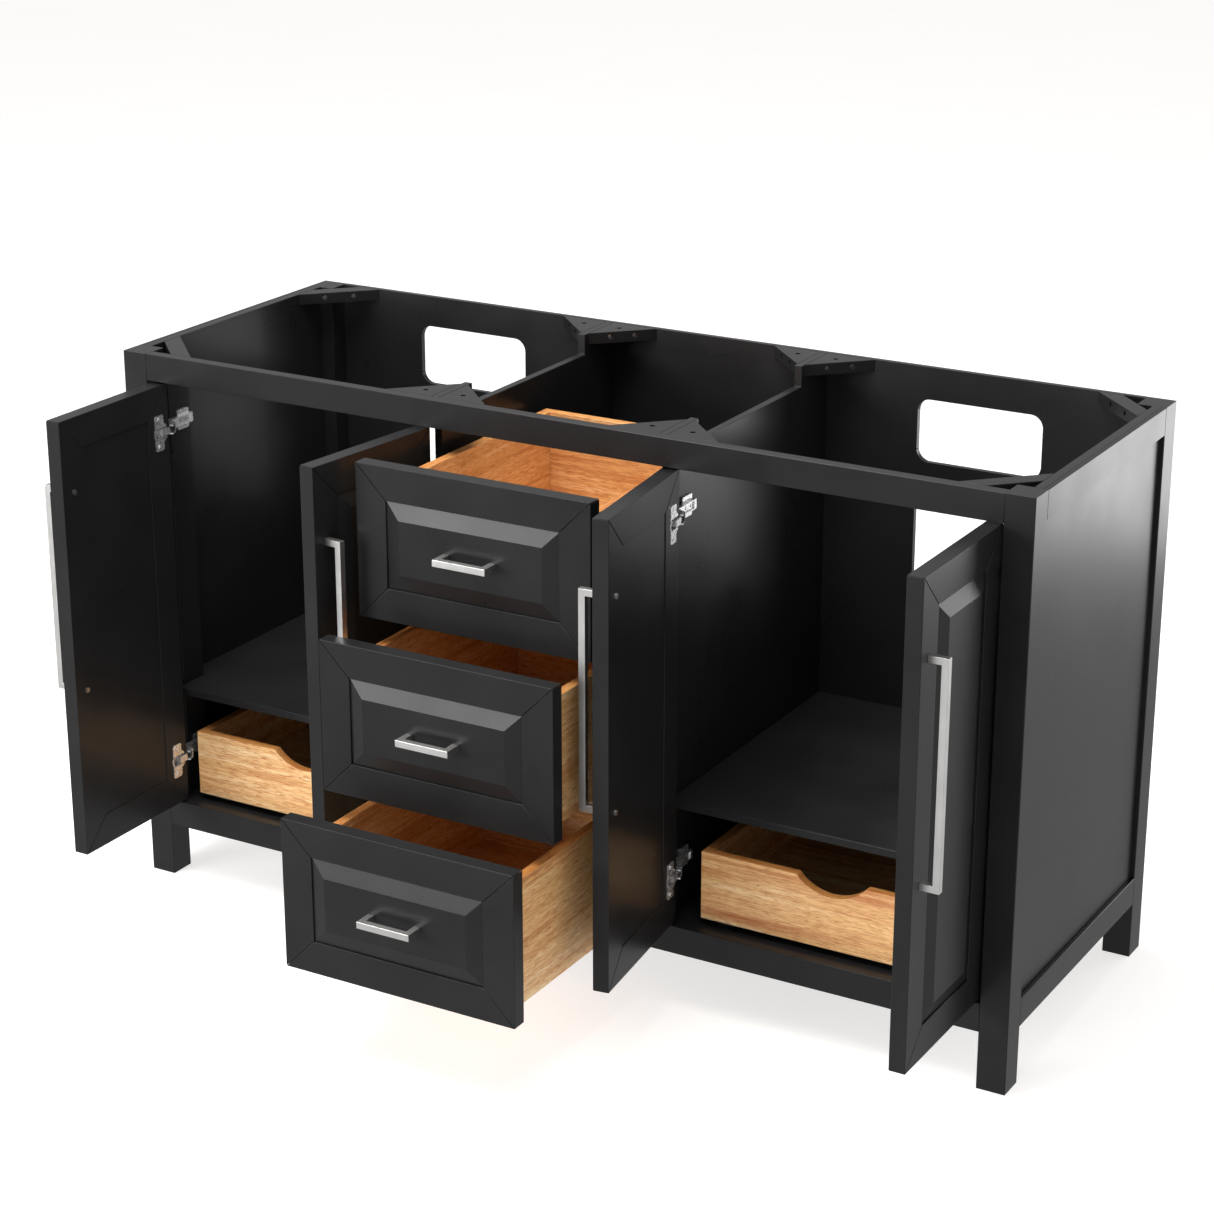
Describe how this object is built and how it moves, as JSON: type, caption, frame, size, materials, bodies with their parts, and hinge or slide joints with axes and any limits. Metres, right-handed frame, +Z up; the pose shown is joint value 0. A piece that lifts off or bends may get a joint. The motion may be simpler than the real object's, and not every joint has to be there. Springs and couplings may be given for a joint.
{
  "type": "bathroom vanity cabinet",
  "caption": "Wide double-bowl vanity base with framed doors, a bank of drawers between them, bar pulls and pull-out trays, without its countertop.",
  "frame": {"origin": "on the floor, in the middle of the object's box as pictured, with the drawers out", "axes": "+X to the right seen from the room, +Y towards the wall, +Z up"},
  "size_m": [1.5, 0.962, 0.874],
  "materials": {
    "charcoal_lacquer": "satin",
    "light_oak": "satin",
    "satin_nickel": "brushed",
    "hinge_steel": "polished",
    "runner_steel": "satin"
  },
  "bodies": {
    "carcass": {"post_front_left": "charcoal_lacquer", "post_front_right": "charcoal_lacquer", "post_rear_left": "charcoal_lacquer", "post_rear_right": "charcoal_lacquer", "top_rail_front": "charcoal_lacquer", "bottom_rail_front": "charcoal_lacquer", "side_panel_left": "charcoal_lacquer", "side_panel_right": "charcoal_lacquer", "side_rails": "charcoal_lacquer", "divider_left": "charcoal_lacquer", "divider_right": "charcoal_lacquer", "back_panel": "charcoal_lacquer", "hinge_stiles": "charcoal_lacquer", "shelf_left": "charcoal_lacquer", "shelf_right": "charcoal_lacquer", "bottom_panel": "charcoal_lacquer", "corner_braces": "charcoal_lacquer", "divider_blocks": "charcoal_lacquer", "frame_screws": "hinge_steel", "shelf_pins": "hinge_steel", "hinge_arms": "hinge_steel", "runner_rails": "runner_steel"},
    "door_1": {"door_1_frame": "charcoal_lacquer", "door_1_panel": "charcoal_lacquer", "door_1_pull": "satin_nickel", "door_1_hinges": "hinge_steel"},
    "door_2": {"door_2_frame": "charcoal_lacquer", "door_2_panel": "charcoal_lacquer", "door_2_pull": "satin_nickel", "door_2_hinges": "hinge_steel"},
    "door_3": {"door_3_frame": "charcoal_lacquer", "door_3_panel": "charcoal_lacquer", "door_3_pull": "satin_nickel", "door_3_hinges": "hinge_steel"},
    "door_4": {"door_4_frame": "charcoal_lacquer", "door_4_panel": "charcoal_lacquer", "door_4_pull": "satin_nickel", "door_4_hinges": "hinge_steel"},
    "drawer_1": {"drawer_1_frame": "charcoal_lacquer", "drawer_1_panel": "charcoal_lacquer", "drawer_1_pull": "satin_nickel", "drawer_1_box": "light_oak", "drawer_1_runners": "runner_steel"},
    "drawer_1_middle": {"drawer_1_slides": "runner_steel"},
    "drawer_2": {"drawer_2_frame": "charcoal_lacquer", "drawer_2_panel": "charcoal_lacquer", "drawer_2_pull": "satin_nickel", "drawer_2_box": "light_oak", "drawer_2_runners": "runner_steel"},
    "drawer_2_middle": {"drawer_2_slides": "runner_steel"},
    "drawer_3": {"drawer_3_frame": "charcoal_lacquer", "drawer_3_panel": "charcoal_lacquer", "drawer_3_pull": "satin_nickel", "drawer_3_box": "light_oak", "drawer_3_runners": "runner_steel"},
    "drawer_3_middle": {"drawer_3_slides": "runner_steel"},
    "tray_left": {"tray_left_box": "light_oak", "tray_left_runners": "runner_steel"},
    "tray_right": {"tray_right_box": "light_oak", "tray_right_runners": "runner_steel"}
  },
  "joints": [
    {"name": "door_1_hinge", "type": "hinge", "parent": "carcass", "child": "door_1", "pos_m": [-0.6965, -0.0504, 0.482], "axis": [0, 0, -1], "range_deg": [-90, 15]},
    {"name": "door_2_hinge", "type": "hinge", "parent": "carcass", "child": "door_2", "pos_m": [-0.2005, -0.0504, 0.482], "axis": [0, 0, 1], "range_deg": [-83, 5]},
    {"name": "door_3_hinge", "type": "hinge", "parent": "carcass", "child": "door_3", "pos_m": [0.2005, -0.0504, 0.482], "axis": [0, 0, -1], "range_deg": [-83, 5]},
    {"name": "door_4_hinge", "type": "hinge", "parent": "carcass", "child": "door_4", "pos_m": [0.6965, -0.0504, 0.482], "axis": [0, 0, 1], "range_deg": [-90, 15]},
    {"name": "drawer_1_slide", "type": "slide", "parent": "carcass", "child": "drawer_1", "axis": [0, -1, 0], "range_m": [-0.185, 0.215]},
    {"name": "drawer_1_middle_slide", "type": "slide", "parent": "carcass", "child": "drawer_1_middle", "axis": [0, -1, 0], "range_m": [-0.0925, 0.1075]},
    {"name": "drawer_2_slide", "type": "slide", "parent": "carcass", "child": "drawer_2", "axis": [0, -1, 0], "range_m": [-0.286, 0.114]},
    {"name": "drawer_2_middle_slide", "type": "slide", "parent": "carcass", "child": "drawer_2_middle", "axis": [0, -1, 0], "range_m": [-0.143, 0.057]},
    {"name": "drawer_3_slide", "type": "slide", "parent": "carcass", "child": "drawer_3", "axis": [0, -1, 0], "range_m": [-0.391, 0.009]},
    {"name": "drawer_3_middle_slide", "type": "slide", "parent": "carcass", "child": "drawer_3_middle", "axis": [0, -1, 0], "range_m": [-0.1955, 0.0045]},
    {"name": "tray_left_slide", "type": "slide", "parent": "carcass", "child": "tray_left", "axis": [0, -1, 0], "range_m": [0, 0.34]},
    {"name": "tray_right_slide", "type": "slide", "parent": "carcass", "child": "tray_right", "axis": [0, -1, 0], "range_m": [0, 0.34]}
  ],
  "couplings": [
    {"joint": "drawer_1_middle_slide", "follows": "drawer_1_slide", "ratio": 0.5},
    {"joint": "drawer_2_middle_slide", "follows": "drawer_2_slide", "ratio": 0.5},
    {"joint": "drawer_3_middle_slide", "follows": "drawer_3_slide", "ratio": 0.5}
  ]
}
